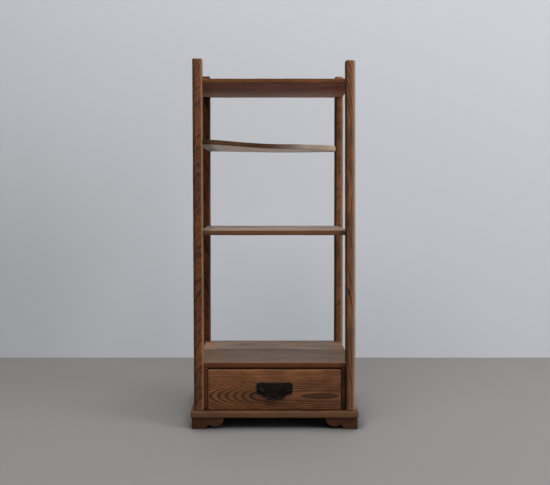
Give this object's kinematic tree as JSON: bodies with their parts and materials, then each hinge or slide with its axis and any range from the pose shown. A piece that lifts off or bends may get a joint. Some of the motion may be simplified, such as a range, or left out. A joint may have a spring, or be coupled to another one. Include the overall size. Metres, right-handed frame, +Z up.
{
  "type": "utensil shelf",
  "caption": "Tall narrow open wooden shelf on four posts, with a curved upper board and a drawer with an iron bail above a base on bracket feet.",
  "frame": {"origin": "on the floor under the middle of the base board", "axes": "+X to the object's right as seen from the front, +Y to the rear, +Z up; the drawer faces -Y"},
  "size_m": [0.455, 0.303, 1],
  "materials": {
    "post_wood": "aged, oiled, worn edges",
    "board_wood": "aged, worn and greyed on top",
    "drawer_wood": "aged, oiled, strong grain",
    "inner_wood": "bare, dry",
    "foot_wood": "aged, dark",
    "iron": "dark, lightly rusted"
  },
  "bodies": {
    "stand": {"base_board": "board_wood", "foot_front_left": "foot_wood", "foot_side_front_left": "foot_wood", "foot_front_right": "foot_wood", "foot_side_front_right": "foot_wood", "foot_rear_left": "foot_wood", "foot_side_rear_left": "foot_wood", "foot_rear_right": "foot_wood", "foot_side_rear_right": "foot_wood", "post_front_left": "post_wood", "post_front_right": "post_wood", "post_rear_left": "post_wood", "post_rear_right": "post_wood", "case_top": "board_wood", "middle_shelf": "board_wood", "upper_shelf": "board_wood", "top_shelf": "board_wood", "case_side_left": "post_wood", "case_side_right": "post_wood", "case_back": "inner_wood"},
    "drawer": {"drawer_front": "drawer_wood", "drawer_side_left": "inner_wood", "drawer_side_right": "inner_wood", "drawer_back": "inner_wood", "drawer_bottom": "inner_wood", "drawer_peg_front_left_low": "inner_wood", "drawer_peg_front_left_high": "inner_wood", "drawer_peg_front_right_low": "inner_wood", "drawer_peg_front_right_high": "inner_wood", "drawer_peg_rear_left_low": "inner_wood", "drawer_peg_rear_left_high": "inner_wood", "drawer_peg_rear_right_low": "inner_wood", "drawer_peg_rear_right_high": "inner_wood", "handle_plate": "iron", "handle_pin_left": "iron", "handle_pin_right": "iron"},
    "bail": {"handle_bail": "iron"}
  },
  "joints": [
    {"name": "drawer_slide", "type": "slide", "parent": "stand", "child": "drawer", "axis": [0, -1, 0], "range_m": [0, 0.2]},
    {"name": "bail_hinge", "type": "hinge", "parent": "drawer", "child": "bail", "pos_m": [0, -0.1412, 0.1026], "axis": [-1, 0, 0], "range_deg": [0, 170]}
  ]
}
